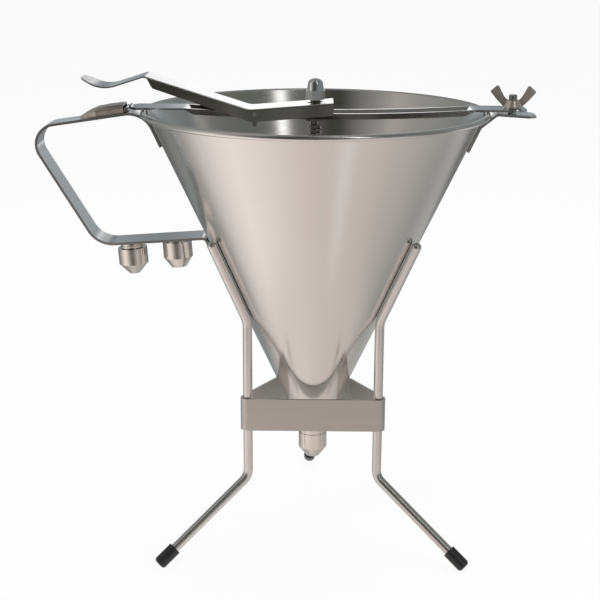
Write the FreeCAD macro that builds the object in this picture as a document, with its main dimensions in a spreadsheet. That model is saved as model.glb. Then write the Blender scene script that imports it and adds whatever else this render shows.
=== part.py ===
import FreeCAD, Part

import math
import os
from types import SimpleNamespace

import Sketcher
from FreeCAD import Placement, Rotation, Vector

# A stainless steel batter funnel with a thumb lever, in a stand of three bent rods.
# The origin is the centre of the mounted nozzle's mouth, and +Z runs up the funnel's axis.
# The handle points along -X and the wing nut along +X.

SIZES = {
    # cone and rim
    "cone_half_angle": 24.8,
    "cone_depth": 192.9,
    "cone_wall": 1.0,
    "lip_height": 1.0,
    "bead_radius": 1.7,
    "weld_gap": 0.05,
    # spout and nozzles
    "spout_radius": 8.6,
    "spout_flange_height": 5.6,
    "spout_bore_radius": 5.0,
    "thread_radius": 7.0,
    "thread_length": 6.6,
    "thread_pitch": 1.5,
    "thread_depth": 0.55,
    "thread_clearance": 0.08,
    "nozzle_radius": 8.75,
    "nozzle_skirt_height": 9.7,
    "nozzle_taper_height": 6.1,
    "nozzle_mouth_wall": 1.7,
    "nozzle_seat_gap": 0.2,
    "small_outlet_radius": 1.5,
    "medium_outlet_radius": 2.5,
    "large_outlet_radius": 3.0,
    "outlet_bore_length": 2.0,
    "seal_height": 1.0,
    "nozzle_shoulder_radius": 5.2,
    "seal_bore_radius": 5.4,
    # handle
    "handle_width": 20.0,
    "handle_thickness": 1.5,
    "handle_reach": 170.3,
    "handle_top_slope": 8.6,
    "handle_back_lean": 30.85,
    "handle_bottom_drop": 79.2,
    "handle_bottom_slope": 4.0,
    "handle_upper_weld_drop": 19.5,
    "handle_lower_weld_drop": 84.0,
    "handle_neck_bend": 15.5,
    "handle_top_bend": 12.5,
    "handle_bottom_bend": 17.0,
    "handle_foot_bend": 2.0,
    "hood_mouth_overlap": 1.1,
    "hood_length": 26.4,
    "hood_height": 4.6,
    "hood_width": 18.4,
    "hood_wall": 0.9,
    "hood_corner": 2.6,
    "outer_boss_reach": 109.3,
    "inner_boss_reach": 82.3,
    "outer_nozzle_drop": 3.7,
    "inner_nozzle_drop": 1.4,
    "boss_neck_radius": 6.2,
    "boss_neck_height": 1.0,
    # bridge bar
    "bar_width": 20.0,
    "bar_thickness": 1.2,
    "bar_end_overhang": 7.5,
    "bar_tongue_width": 10.0,
    "bar_tongue_taper": 4.2,
    "bar_corner_cut": 4.0,
    "bar_lip_height": 0.8,
    "trough_left_reach": 77.0,
    "trough_right_reach": 93.0,
    "trough_end_run": 6.0,
    "trough_height": 3.6,
    "trough_sag": 2.7,
    "trough_side_slope_width": 2.4,
    "rod_hole_clearance": 0.3,
    "hook_pin_radius": 1.45,
    "hook_pin_length": 15.0,
    "hook_pin_reach": 109.3,
    "hook_pin_rest_gap": 0.12,
    "stud_slot_clearance": 0.5,
    # wing nut and its bracket
    "bracket_width": 20.0,
    "bracket_thickness": 1.5,
    "bracket_lower_drop": 22.0,
    "bracket_neck_drop": 7.8,
    "bracket_knee_gap": 3.4,
    "bracket_knee_drop": 0.6,
    "bracket_overhang": 13.1,
    "bracket_tip_drop": 2.1,
    "bracket_bend": 2.6,
    "bracket_corner_cut": 4.5,
    "stud_radius": 2.5,
    "stud_reach": 114.5,
    "stud_tip_height": 10.7,
    "stud_tip_chamfer": 0.5,
    "stud_thread_length": 8.0,
    "clamp_washer_radius": 5.0,
    "clamp_washer_height": 0.6,
    "wing_hub_radius": 5.3,
    "wing_hub_top_radius": 3.4,
    "wing_hub_foot_height": 0.6,
    "wing_hub_height": 4.0,
    "wing_span": 26.6,
    "wing_height": 12.8,
    "wing_thickness": 1.9,
    "wing_turn": -10.0,
    "running_clearance": 0.06,
    # lever
    "lever_width": 24.0,
    "lever_sheet": 1.0,
    "lever_tip_reach": 135.2,
    "lever_tip_rise": 20.0,
    "lever_valley_reach": 121.5,
    "lever_valley_rise": 13.9,
    "lever_ridge_reach": 98.2,
    "lever_ridge_rise": 21.4,
    "lever_knee_reach": 38.0,
    "lever_knee_rise": 2.6,
    "lever_end_reach": 10.5,
    "lever_end_rise": 6.55,
    "lever_cheek_reach": 96.6,
    "lever_toe_run": 3.4,
    "lever_toe_depth": 5.6,
    "lever_toe_round": 1.5,
    "lever_low_point_reach": 36.8,
    "lever_low_point_depth": 7.2,
    "lever_low_point_bend": 9.0,
    "lever_end_depth": 7.3,
    "lever_end_round": 2.0,
    "lever_lug_width": 2.8,
    "lever_lug_hang": 6.8,
    "lever_valley_bend": 20.0,
    "lever_ridge_bend": 2.2,
    "lever_knee_bend": 12.0,
    "lever_edge_round": 0.85,
    "lever_tip_round": 9.6,
    "lever_slot_length": 9.4,
    "lever_slot_width": 7.0,
    "pivot_reach": 34.8,
    "pivot_drop": 0.2,
    "pivot_pin_radius": 1.25,
    "press_gap": 0.02,
    "hinge_wall": 0.5,
    "hinge_side_gap": 0.3,
    # plunger
    "rod_radius": 2.65,
    "rod_thread_radius": 2.95,
    "rod_thread_start_rise": 3.5,
    "rod_thread_pitch": 1.0,
    "rod_thread_depth": 0.3,
    "rod_tip_chamfer": 0.4,
    "rod_tip_gap": 2.0,
    "nut_flats": 10.0,
    "nut_rise": 7.3,
    "nut_hex_height": 5.3,
    "nut_turn": 12.0,
    "nut_dome_foot_radius": 4.95,
    "nut_dome_radius": 4.4,
    "nut_dome_rise": 2.9,
    "nut_height": 12.2,
    "nut_wall": 1.3,
    "nut_drill_point": 1.5,
    "spring_washer_radius": 5.6,
    "spring_washer_height": 1.3,
    "spring_length": 50.0,
    "spring_radius": 3.5,
    "spring_wire_radius": 0.575,
    "spring_pitch": 2.45,
    "spring_end_offset": 1.5,
    "spring_collar_radius": 5.6,
    "spring_collar_height": 2.0,
    "clip_radius": 4.6,
    "clip_height": 0.7,
    "clip_groove_depth": 0.5,
    "plug_radius": 6.2,
    "plug_height": 6.0,
    "plug_chamfer": 1.2,
    "plug_socket_floor": 2.4,
    "plug_tip_radius": 1.6,
    "plug_tip_height": 2.6,
    "plug_seat_height": 3.6,
    "plug_seat_gap": 0.3,
    # stand
    "outlet_height": 52.0,
    "leg_radius": 2.8,
    "leg_circle_radius": 45.2,
    "leg_top_drop": 72.5,
    "leg_upper_bend": 14.0,
    "leg_lower_bend": 9.0,
    "leg_splay_angle": 53.5,
    "rear_leg_splay_angle": 57.2,
    "rear_leg_swing": 1.8,
    "knee_height": 46.8,
    "funnel_seat_gap": 0.3,
    "collar_top": 46.0,
    "collar_height": 20.0,
    "collar_thickness": 1.5,
    "collar_seam": 1.6,
    "cap_radius": 4.0,
    "cap_length": 13.5,
    "cap_end_round": 2.0,
    "cap_floor_flat": 0.5,
    "cap_bore_depth": 10.5,
}

doc = FreeCAD.newDocument("BatterDispenser")
sheet = doc.addObject("Spreadsheet::Sheet", "Sizes")
for row, (alias, number) in enumerate(SIZES.items(), start=1):
    sheet.set(f"A{row}", alias)
    sheet.set(f"B{row}", str(number))
    sheet.setAlias(f"B{row}", alias)
doc.recompute()


class Size:
    """A number together with the sheet formula that gives it."""

    def __init__(self, number, formula):
        self.number = number
        self.formula = formula

    def __add__(self, other):
        other = as_size(other)
        return Size(self.number + other.number, f"({self.formula} + {other.formula})")

    def __sub__(self, other):
        other = as_size(other)
        return Size(self.number - other.number, f"({self.formula} - {other.formula})")

    def __mul__(self, other):
        other = as_size(other)
        return Size(self.number * other.number, f"({self.formula} * {other.formula})")

    def __truediv__(self, other):
        other = as_size(other)
        return Size(self.number / other.number, f"({self.formula} / {other.formula})")

    def __neg__(self):
        return self * -1


def as_size(value):
    if isinstance(value, Size):
        return value
    return Size(float(value), f"({float(value)})")


def tangent(angle):
    return Size(math.tan(math.radians(angle.number)), f"tan({angle.formula} * 1 deg)")


def cosine(angle):
    return Size(math.cos(math.radians(angle.number)), f"cos({angle.formula} * 1 deg)")


mm = SimpleNamespace(**{alias: float(sheet.get(alias)) for alias in SIZES})
cell = SimpleNamespace(**{alias: Size(getattr(mm, alias), f"Sizes.{alias}") for alias in SIZES})

ZERO = Size(0.0, "0")
UP = Vector(0, 0, 1)
ACROSS = Vector(0, 1, 0)

# How far a cutting shape runs past the piece that it cuts.
OVERRUN = 1.0
# Where a thread groove starts, is deepest and ends, as shares of the pitch.
GROOVE_START = 0.35
GROOVE_BOTTOM = 0.6
GROOVE_END = 0.85

# Heights and radii that several pieces share, worked out from the driving sizes.
spout_foot = cell.nozzle_taper_height + cell.nozzle_skirt_height + cell.nozzle_seat_gap
cone_foot = spout_foot + cell.spout_flange_height
rim_height = cone_foot + cell.cone_depth
cone_slope = tangent(cell.cone_half_angle)
mouth_radius = cell.spout_radius + cell.cone_depth * cone_slope
bead_circle_radius = mouth_radius + (cell.bead_radius + cell.weld_gap) / cosine(cell.cone_half_angle)
wall_across = cell.cone_wall / cosine(cell.cone_half_angle)
rim_z = rim_height.number
floor_z = -mm.outlet_height
half_angle = math.radians(mm.cone_half_angle)

nodes = []


def keep(item, name):
    item.Label = name
    nodes.append(item)
    return item


def new_body(name):
    return keep(doc.addObject("PartDesign::Body", name), name)


def new_sketch(body, plane, name):
    sketch = body.newObject("Sketcher::SketchObject", name)
    support = [feature for feature in body.Origin.OriginFeatures if feature.Role == plane][0]
    sketch.AttachmentSupport = [(support, "")]
    sketch.MapMode = "FlatFace"
    return sketch


def tie(sketch, kind, edge, end, value):
    """Holds one coordinate of a corner to its formula, or to the axis where it is nought."""
    if value is ZERO:
        axis = -2 if kind == "DistanceX" else -1
        sketch.addConstraint(Sketcher.Constraint("PointOnObject", edge, end, axis))
        return
    index = sketch.addConstraint(Sketcher.Constraint(kind, -1, 1, edge, end, value.number))
    sketch.setExpression(f"Constraints[{index}]", value.formula)


def draw_outline(sketch, corners):
    """A closed outline of straight lines, each corner tied to its formulas."""
    first = sketch.GeometryCount
    count = len(corners)
    points = [Vector(across.number, up.number, 0) for across, up in corners]
    for index in range(count):
        sketch.addGeometry(Part.LineSegment(points[index], points[(index + 1) % count]))
    for index in range(count):
        following = first + (index + 1) % count
        sketch.addConstraint(Sketcher.Constraint("Coincident", first + index, 2, following, 1))
    for index, (across, up) in enumerate(corners):
        tie(sketch, "DistanceX", first + index, 1, across)
        tie(sketch, "DistanceY", first + index, 1, up)


def draw_circle(sketch, radius):
    """A circle about the sketch's origin."""
    edge = sketch.addGeometry(Part.Circle(Vector(), Vector(0, 0, 1), radius.number))
    sketch.addConstraint(Sketcher.Constraint("Coincident", edge, 3, -1, 1))
    index = sketch.addConstraint(Sketcher.Constraint("Radius", edge, radius.number))
    sketch.setExpression(f"Constraints[{index}]", radius.formula)


def turned(name, corners):
    """A body turned about its own Z axis from an outline of (radius, height) corners."""
    body = new_body(name)
    sketch = new_sketch(body, "XZ_Plane", f"{name}_outline")
    draw_outline(sketch, corners)
    turn = body.newObject("PartDesign::Revolution", f"{name}_turned")
    turn.Profile = sketch
    turn.ReferenceAxis = (sketch, ["V_Axis"])
    turn.Angle = 360
    body.Tip = turn
    return body


def padded(name, draw, height):
    """A body padded up from its own XY plane."""
    body = new_body(name)
    sketch = new_sketch(body, "XY_Plane", f"{name}_outline")
    draw(sketch)
    pad = body.newObject("PartDesign::Pad", f"{name}_pad")
    pad.Profile = sketch
    pad.setExpression("Length", height.formula)
    body.Tip = pad
    return body


def place(item, base, rotation=Rotation()):
    item.Placement = Placement(base, rotation)
    return item


def made(name, shape):
    """A node whose shape is worked out directly."""
    item = keep(doc.addObject("Part::Feature", name), name)
    item.Shape = shape
    return item


def side(x, z):
    """A point of the vertical plane that holds the handle, the bar and the lever."""
    return Vector(x, 0, z)


def polar(radius, azimuth, z):
    turn = math.radians(azimuth)
    return Vector(radius * math.cos(turn), radius * math.sin(turn), z)


def rounded_path(points, radii):
    """Edges of a path of straight runs, with an arc of its own radius at each inner corner."""
    edges = []
    start = points[0]
    for before, corner, after, radius in zip(points, points[1:], points[2:], radii):
        back = (before - corner).normalize()
        on = (after - corner).normalize()
        half_turn = (math.pi - back.getAngle(on)) / 2
        reach = radius * math.tan(half_turn)
        arc_start = corner + back * reach
        arc_end = corner + on * reach
        inward = (back + on).normalize()
        arc_middle = corner + inward * (radius / math.cos(half_turn) - radius)
        edges.append(Part.LineSegment(start, arc_start).toShape())
        edges.append(Part.Arc(arc_start, arc_middle, arc_end).toShape())
        start = arc_end
    edges.append(Part.LineSegment(start, points[-1]).toShape())
    return edges


def rounded_loop(points, radii):
    """A closed wire with an arc at each corner. It starts halfway along its last side."""
    middle = (points[-1] + points[0]) * 0.5
    return Part.Wire(rounded_path([middle] + points + [middle], radii))


def turn_at(points, index):
    """The sign and the two directions of the turn at a corner of a side view path."""
    before = (points[index] - points[index - 1]).normalize()
    after = (points[index + 1] - points[index]).normalize()
    sign = 1 if before.x * after.z - before.z * after.x > 0 else -1
    return sign, before, after


def left_of(direction):
    return Vector(-direction.z, 0, direction.x)


def offset_path(points, radii, shift):
    """The side view path moved to its left by shift, with its arcs on the same centres."""
    moved = [points[0] + left_of((points[1] - points[0]).normalize()) * shift]
    new_radii = []
    for index in range(1, len(points) - 1):
        sign, before, after = turn_at(points, index)
        normal = left_of(before) + left_of(after)
        moved.append(points[index] + normal * (shift / (1 + before.dot(after))))
        new_radii.append(radii[index - 1] - sign * shift)
    moved.append(points[-1] + left_of((points[-1] - points[-2]).normalize()) * shift)
    return moved, new_radii


def folded_strip(points, radii, thickness, width):
    """A bent flat strip. The path is its right-hand face, and its width is centred on the path."""
    moved, moved_radii = offset_path(points, radii, thickness)
    there = rounded_path(points, radii)
    back = rounded_path(moved, moved_radii)
    ends = [
        Part.LineSegment(points[-1], moved[-1]).toShape(),
        Part.LineSegment(moved[0], points[0]).toShape(),
    ]
    outline = Part.Wire(Part.__sortEdges__(there + back + ends))
    return extruded(outline, width)


def extruded(outline, width, start=None):
    """A side view outline given its width across, centred unless a start is given."""
    solid = Part.Face(outline).extrude(ACROSS * width)
    solid.translate(ACROSS * (-width / 2 if start is None else start))
    return solid


def upright_hole(radius, x, piece):
    """A round cutter that passes up through the whole of a piece."""
    box = piece.BoundBox
    return Part.makeCylinder(radius, box.ZLength + 2 * OVERRUN, side(x, box.ZMin - OVERRUN))


def upright_box(low_x, high_x, low_y, high_y, piece):
    """A square cutter that passes up through the whole of a piece."""
    box = piece.BoundBox
    corner = Vector(low_x, low_y, box.ZMin - OVERRUN)
    return Part.makeBox(high_x - low_x, high_y - low_y, box.ZLength + 2 * OVERRUN, corner)


def crossways_hole(radius, x, z, piece):
    """A round cutter that passes across the whole of a piece."""
    box = piece.BoundBox
    return Part.makeCylinder(radius, box.YLength + 2 * OVERRUN, Vector(x, box.YMin - OVERRUN, z), ACROSS)


def closed(points):
    return Part.makePolygon(points + points[:1])


def bead_outside():
    """The rim's outermost radius."""
    return bead_circle_radius.number + mm.bead_radius


def cone_outside(z):
    """The cone's outer radius at a height."""
    return mouth_radius.number + (z - rim_z) * math.tan(half_angle)


def meet(point, direction, other, other_direction):
    """The crossing of two side view lines."""
    across = direction.x * other_direction.z - direction.z * other_direction.x
    gap = other - point
    along = (gap.x * other_direction.z - gap.z * other_direction.x) / across
    return point + direction * along


def threads(crest, depth, pitch, top, foot):
    """Corners of a row of thread grooves down a cylinder, from its top to its foot."""
    count = int((top - foot).number / pitch.number)
    corners = []
    for index in range(count):
        corners.append((crest, top - pitch * (index + GROOVE_START)))
        corners.append((crest - depth, top - pitch * (index + GROOVE_BOTTOM)))
        corners.append((crest, top - pitch * (index + GROOVE_END)))
    return corners


# Cone, rim and spout


def make_cone():
    top = rim_height + cell.lip_height
    top_radius = mouth_radius + cell.lip_height * cone_slope
    turned("cone_body", [
        (cell.spout_radius, cone_foot),
        (top_radius, top),
        (top_radius - wall_across, top),
        (cell.spout_radius - wall_across, cone_foot),
    ])
    bead = keep(doc.addObject("Part::Torus", "rim_bead"), "rim_bead")
    bead.setExpression("Radius1", bead_circle_radius.formula)
    bead.setExpression("Radius2", cell.bead_radius.formula)
    bead.setExpression("Placement.Base.z", rim_height.formula)


def make_spout():
    foot = spout_foot - cell.thread_length
    seat_top = cell.spout_radius - wall_across
    seat_foot = cone_foot - cell.plug_seat_height
    outer = [
        (seat_top, cone_foot),
        (cell.spout_radius, cone_foot),
        (cell.spout_radius, spout_foot),
        (cell.thread_radius, spout_foot),
    ]
    outer += threads(cell.thread_radius, cell.thread_depth, cell.thread_pitch, spout_foot, foot)
    outer += [
        (cell.thread_radius, foot),
        (cell.spout_bore_radius, foot),
        (cell.spout_bore_radius, seat_foot),
    ]
    turned("spout", outer)


def make_nozzle(name, outlet_radius):
    """A screwed nozzle, standing on its mouth at its own origin."""
    top = cell.nozzle_taper_height + cell.nozzle_skirt_height
    shoulder = nozzle_shoulder()
    thread_bore = cell.thread_radius + cell.thread_clearance
    return turned(name, [
        (outlet_radius, ZERO),
        (outlet_radius + cell.nozzle_mouth_wall, ZERO),
        (cell.nozzle_radius, cell.nozzle_taper_height),
        (cell.nozzle_radius, top),
        (thread_bore, top),
        (thread_bore, shoulder),
        (cell.nozzle_shoulder_radius, shoulder),
        (outlet_radius, cell.outlet_bore_length),
    ])


def nozzle_shoulder():
    """The height of the nozzle's inner shoulder, which carries the seal, above its mouth."""
    return spout_foot - cell.thread_length - cell.nozzle_seat_gap - cell.seal_height


def make_seal(name):
    def draw(sketch):
        draw_circle(sketch, cell.thread_radius - cell.thread_clearance)
        draw_circle(sketch, cell.seal_bore_radius)
    return padded(name, draw, cell.seal_height)


def place_nozzle(nozzle, seal, mouth, rotation):
    place(nozzle, mouth, rotation)
    lift = rotation.multVec(UP) * (nozzle_shoulder().number + mm.weld_gap)
    place(seal, mouth + lift, rotation)


# Handle


def handle_corners():
    """Corners of the handle's outer face, from its weld under the rim to its lower weld."""
    wall_line = Vector(-math.sin(half_angle), 0, math.cos(half_angle))
    wall_point = side(-cone_outside(rim_z) - mm.weld_gap, rim_z)
    slope = math.radians(mm.handle_top_slope)
    top_line = side(math.cos(slope), math.sin(slope))
    pin_rest = side(-mm.hook_pin_reach, hook_pin_foot() - mm.hook_pin_rest_gap)
    top_left = meet(pin_rest, top_line, side(-mm.handle_reach, rim_z), UP)
    neck = meet(top_left, top_line, wall_point, wall_line)
    lean = math.radians(mm.handle_back_lean)
    fall = top_left.z - (rim_z - mm.handle_bottom_drop)
    bottom_left = top_left + side(fall * math.tan(lean), -fall)
    bottom_slope = math.radians(mm.handle_bottom_slope)
    bottom_line = side(math.cos(bottom_slope), math.sin(bottom_slope))
    outer_wall_point = wall_point - side(mm.handle_thickness / math.cos(half_angle), 0)
    foot = meet(bottom_left, bottom_line, outer_wall_point, wall_line)
    upper_end = meet(side(0, rim_z - mm.handle_upper_weld_drop), side(1, 0), wall_point, wall_line)
    lower_height = side(0, rim_z - mm.handle_lower_weld_drop)
    lower_end = meet(lower_height, side(1, 0), outer_wall_point, wall_line)
    return [upper_end, neck, top_left, bottom_left, foot, lower_end]


def make_handle():
    corners = handle_corners()
    radii = [mm.handle_neck_bend, mm.handle_top_bend, mm.handle_bottom_bend, mm.handle_foot_bend]
    strip = folded_strip(corners, radii, mm.handle_thickness, mm.handle_width)
    made("handle_strip", strip)


def hood_section(width, height, corner, along, drop):
    """An arch with square shoulders, across the handle at a distance along it."""
    half = width / 2
    low = -drop
    across = [
        Vector(along, -half, low),
        Vector(along, -half, height),
        Vector(along, half, height),
        Vector(along, half, low),
    ]
    arch = rounded_path(across, [corner, corner])
    arch.append(Part.LineSegment(across[-1], across[0]).toShape())
    return Part.Wire(arch)


def make_hood():
    """A hood raised on the handle, open towards the bar, whose hook pin it holds down."""
    shape = [(0.0, 1.0, 1.0), (0.35, 1.0, 1.06), (0.62, 0.96, 0.98), (0.82, 0.8, 0.68), (1.0, 0.46, 0.22)]
    outer = []
    inner = []
    for share, width_share, height_share in shape:
        along = -share * mm.hood_length
        width = mm.hood_width * width_share
        height = mm.hood_height * height_share
        corner = min(mm.hood_corner, 0.45 * height)
        outer.append(hood_section(width, height, corner, along, 0))
        if share < shape[-1][0]:
            wall = mm.hood_wall
            inner_height = height - wall
            inner_corner = min(mm.hood_corner - wall, 0.45 * inner_height)
            inner.append(hood_section(width - 2 * wall, inner_height, inner_corner, along, wall))
    inner[0].translate(Vector(0.01, 0, 0))
    shell = Part.makeLoft(outer, True, True).cut(Part.makeLoft(inner, True, True))
    place_on = Placement(hood_mouth(), Rotation(ACROSS, -mm.handle_top_slope))
    made("latch_hood", shell.transformGeometry(place_on.toMatrix()))


def hood_mouth():
    """The middle of the hood's open end, on the handle's upper face."""
    reach = mm.hook_pin_reach + mm.hood_mouth_overlap
    fall = mm.hood_mouth_overlap * math.tan(math.radians(mm.handle_top_slope))
    return side(-reach, hook_pin_foot() - mm.hook_pin_rest_gap - fall + mm.weld_gap)


def boss_seat(reach):
    """The point under the handle's lower run at a distance from the axis, and the way down."""
    corners = handle_corners()
    slope = math.radians(mm.handle_bottom_slope)
    rise = (corners[3].x + reach) * -math.tan(slope)
    down = side(math.sin(slope), -math.cos(slope))
    return side(-reach, corners[3].z + rise) + down * mm.weld_gap, down


def make_boss(name, reach, nozzle_name, outlet_radius, drop):
    """A threaded boss under the handle and the spare nozzle that is screwed on it."""
    seat, down = boss_seat(reach)
    rotation = Rotation(UP, down)
    neck = cell.boss_neck_height
    length = neck + cell.thread_length
    corners = [
        (ZERO, length),
        (cell.thread_radius, length),
    ]
    grooves = threads(cell.thread_radius, cell.thread_depth, cell.thread_pitch, length, neck)
    corners += grooves
    corners += [
        (cell.thread_radius, neck),
        (cell.boss_neck_radius, neck),
        (cell.boss_neck_radius, ZERO),
        (ZERO, ZERO),
    ]
    place(turned(name, corners), seat, rotation)
    nozzle = make_nozzle(nozzle_name, outlet_radius)
    seal = make_seal(f"{nozzle_name}_seal")
    height = mm.nozzle_taper_height + mm.nozzle_skirt_height
    place_nozzle(nozzle, seal, seat + down * (drop + height), Rotation(UP, down * -1))


# Bridge bar


def bar_under():
    return rim_z + mm.bead_radius + mm.weld_gap


def bar_top():
    return bar_under() + mm.bar_thickness


def hook_pin_foot():
    """The height of the hook pin's lowest line. Its top is level with the bar's."""
    return bar_top() - 2 * mm.hook_pin_radius


def trough_centre():
    return (mm.trough_right_reach - mm.trough_left_reach) / 2


def trough_bend():
    """The radius of the trough's long sagging curve."""
    half_length = (mm.trough_right_reach + mm.trough_left_reach) / 2
    return (half_length ** 2 + mm.trough_sag ** 2) / (2 * mm.trough_sag)


def trough_edge(x):
    """The height of the trough's upper edge at a place along the bar."""
    bend = trough_bend()
    low = bar_top() - mm.trough_sag
    return low + bend - math.sqrt(bend ** 2 - (x - trough_centre()) ** 2)


def trough_solid(side_gap, floor_gap, end_gap, rise):
    """The trough's form, less a gap at its sides, floor and ends, swung along its sagging curve."""
    bend = trough_bend()
    half_length = (mm.trough_right_reach + mm.trough_left_reach) / 2 - end_gap
    swing = math.degrees(math.asin(half_length / bend))
    low = bar_top() - mm.trough_sag
    half_top = mm.bar_width / 2 - side_gap
    half_floor = half_top - mm.trough_side_slope_width
    floor = low - mm.trough_height + floor_gap
    x = trough_centre()
    section = Part.makePolygon([
        Vector(x, -half_top, low + rise),
        Vector(x, -half_floor, floor),
        Vector(x, half_floor, floor),
        Vector(x, half_top, low + rise),
        Vector(x, -half_top, low + rise),
    ])
    face = Part.Face(section)
    centre = Vector(x, 0, low + bend)
    face.rotate(centre, ACROSS, swing)
    trough = face.revolve(centre, ACROSS * -1, 2 * swing)
    box = trough.BoundBox
    slant = mm.trough_end_run / mm.trough_height
    for way in (-1, 1):
        edge = x + way * half_length
        low_edge = edge - way * slant * (bar_top() - box.ZMin + OVERRUN)
        high_edge = edge + way * slant * (box.ZMax + OVERRUN - bar_top())
        end_cut = closed([
            side(low_edge, box.ZMin - OVERRUN),
            side(high_edge, box.ZMax + OVERRUN),
            side(edge + way * half_length, box.ZMax + OVERRUN),
            side(edge + way * half_length, box.ZMin - OVERRUN),
        ])
        trough = trough.cut(extruded(end_cut, mm.bar_width + 2 * OVERRUN))
    return trough


def make_bar():
    half = mm.bar_width / 2
    under = bar_under()
    tongue_half = mm.bar_tongue_width / 2
    tongue_end = -(mm.hook_pin_reach - mm.hook_pin_radius - mm.weld_gap)
    cut = mm.bar_corner_cut
    right_end = mm.stud_reach + mm.bar_end_overhang
    left_half = [
        Vector(-mm.trough_left_reach + mm.bar_thickness, -half, under),
        Vector(tongue_end + mm.bar_tongue_taper, -half, under),
        Vector(tongue_end, -tongue_half, under),
    ]
    left = left_half + [Vector(p.x, -p.y, p.z) for p in reversed(left_half)]
    right_half = [
        Vector(mm.trough_right_reach - mm.bar_thickness, -half, under),
        Vector(right_end - cut, -half, under),
        Vector(right_end, -half + cut, under),
    ]
    right = right_half + [Vector(p.x, -p.y, p.z) for p in reversed(right_half)]
    flats = [Part.Face(closed(corners)).extrude(UP * mm.bar_thickness) for corners in (left, right)]
    lip_corner = Vector(tongue_end, -tongue_half, bar_top())
    lip = Part.makeBox(mm.bar_thickness, mm.bar_tongue_width, mm.bar_lip_height, lip_corner)
    bar = trough_solid(0, 0, 0, 0).fuse(flats + [lip])
    wall = mm.bar_thickness
    end_wall = wall * math.hypot(1, mm.trough_end_run / mm.trough_height)
    bar = bar.cut(trough_solid(wall, wall, end_wall, OVERRUN))
    slot_half = mm.stud_radius + mm.stud_slot_clearance
    slot_low = mm.stud_reach - slot_half
    slot_high = mm.stud_reach + slot_half
    bar = bar.cut([
        upright_hole(slot_half, mm.stud_reach, bar),
        upright_box(slot_low, slot_high, -half - OVERRUN, 0, bar),
        upright_hole(mm.rod_radius + mm.rod_hole_clearance, 0, bar),
        crossways_hole(mm.pivot_pin_radius + 2 * mm.running_clearance, -mm.pivot_reach, pivot_height(), bar),
    ])
    made("bridge_bar", bar.removeSplitter())


def trough_floor(x):
    """The height of the trough's inner floor."""
    return trough_edge(x) - mm.trough_height + mm.bar_thickness


def pivot_height():
    """The height of the lever's pivot."""
    return rim_z - mm.pivot_drop


def make_bar_fittings():
    pin = keep(doc.addObject("Part::Cylinder", "hook_pin"), "hook_pin")
    pin.setExpression("Radius", cell.hook_pin_radius.formula)
    pin.setExpression("Height", cell.hook_pin_length.formula)
    pin_height = bar_top() - mm.hook_pin_radius
    turn = Rotation(UP, ACROSS)
    place(pin, Vector(-mm.hook_pin_reach, -mm.hook_pin_length / 2, pin_height), turn)

    bore = mm.pivot_pin_radius + mm.running_clearance
    outer = bore + mm.hinge_wall
    width = mm.bar_width - 2 * (mm.bar_thickness + mm.trough_side_slope_width + mm.hinge_side_gap)
    foot = trough_floor(-mm.pivot_reach + outer) + mm.weld_gap * 2
    crown = Part.makeCylinder(outer, width, Vector(-mm.pivot_reach, -width / 2, pivot_height()), ACROSS)
    base_corner = Vector(-mm.pivot_reach - outer, -width / 2, foot)
    base = Part.makeBox(2 * outer, width, pivot_height() - foot, base_corner)
    below = Part.makeBox(4 * outer, width, outer, base_corner - Vector(outer, 0, outer))
    block = crown.fuse(base).removeSplitter()
    made("hinge_block", block.cut([below, crossways_hole(bore, -mm.pivot_reach, pivot_height(), block)]))


# Wing nut and its bracket


def bracket_corners():
    """Corners of the bracket's lower face, from its foot on the cone out to its tip."""
    gap = (mm.bracket_thickness + mm.weld_gap) / math.cos(half_angle)
    foot_z = rim_z - mm.bracket_lower_drop
    neck_z = rim_z - mm.bracket_neck_drop
    return [
        side(cone_outside(foot_z) + gap, foot_z),
        side(cone_outside(neck_z) + gap, neck_z),
        side(bead_outside() + mm.bracket_knee_gap, rim_z - mm.bracket_knee_drop),
        side(mm.stud_reach + mm.bracket_overhang, rim_z - mm.bracket_tip_drop),
    ]


def bracket_top(x):
    """The height of the bracket tab's upper face."""
    knee, tip = bracket_corners()[2:]
    slope = (tip.z - knee.z) / (tip.x - knee.x)
    return knee.z + (x - knee.x) * slope + mm.bracket_thickness / math.cos(math.atan(slope))


def make_bracket():
    bend = mm.bracket_bend
    strip = folded_strip(bracket_corners(), [bend, bend], mm.bracket_thickness, mm.bracket_width)
    box = strip.BoundBox
    cut = mm.bracket_corner_cut
    for way in (-1, 1):
        edge = way * mm.bracket_width / 2
        corner = closed([
            Vector(box.XMax, edge, box.ZMin),
            Vector(box.XMax - cut, edge, box.ZMin),
            Vector(box.XMax, edge - way * cut, box.ZMin),
        ])
        strip = strip.cut(Part.Face(corner).extrude(UP * box.ZLength))
    made("wing_nut_bracket", strip)


def make_stud():
    foot = bracket_top(mm.stud_reach - mm.stud_radius) + mm.weld_gap
    length = as_size(rim_z + mm.stud_tip_height - foot)
    crest = cell.stud_radius
    chamfer = cell.stud_tip_chamfer
    top = length - chamfer
    corners = [(ZERO, length), (crest - chamfer, length), (crest, top)]
    thread_foot = top - cell.stud_thread_length
    corners += threads(crest, cell.rod_thread_depth, cell.rod_thread_pitch, top, thread_foot)
    corners += [(crest, ZERO), (ZERO, ZERO)]
    made("clamp_stud", turned_shape(corners, side(mm.stud_reach, foot)))


def turned_shape(corners, base):
    """A shape turned about a vertical axis through its base."""
    points = [Vector(radius.number, 0, height.number) for radius, height in corners]
    shape = Part.Face(closed(points)).revolve(Vector(), UP, 360)
    shape.translate(base)
    return shape


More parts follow.
